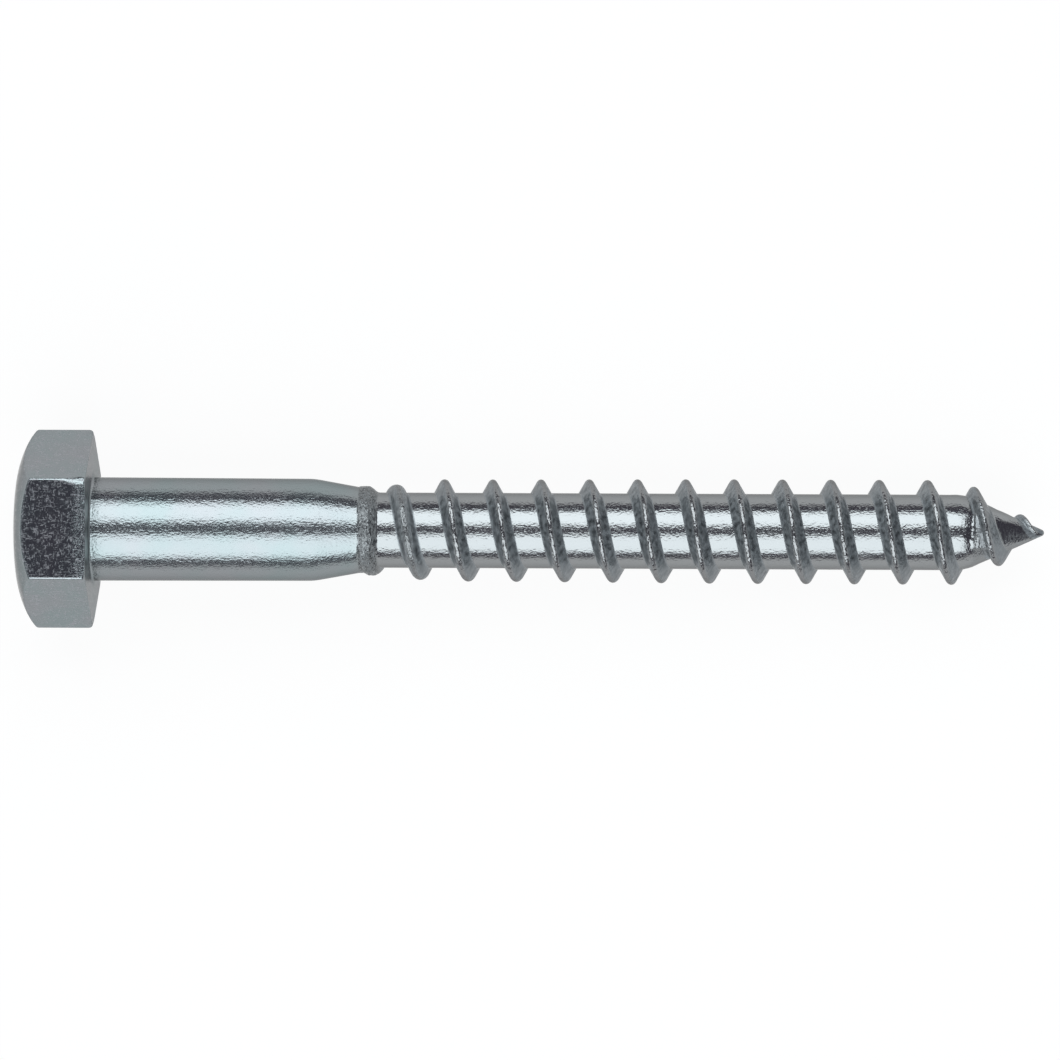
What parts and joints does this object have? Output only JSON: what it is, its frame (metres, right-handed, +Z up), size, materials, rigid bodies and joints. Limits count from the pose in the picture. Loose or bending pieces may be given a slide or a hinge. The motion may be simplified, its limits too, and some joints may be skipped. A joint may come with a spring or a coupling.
{
  "type": "lag screw",
  "caption": "Zinc-plated hexagon-head lag screw with a plain shank, coarse right-hand wood thread and gimlet point.",
  "frame": {"origin": "centre of the bearing face under the head, on the screw's axis, which is where the plain shank begins", "axes": "+X points along the screw towards its point; the axis dips 2.34 degrees below +X, because the screw lies as it rests on a flat surface, on the edge of one flat of the head and on a thread crest near the point; +Z is up and +Y is across"},
  "size_m": [0.0767, 0.0148, 0.013],
  "materials": {
    "zinc_plated_steel": "bright zinc plate, blank with a blue-grey cast, satin on the shank and rougher on the forged flats"
  },
  "bodies": {
    "root": {"lag_screw": "zinc_plated_steel"}
  },
  "joints": []
}
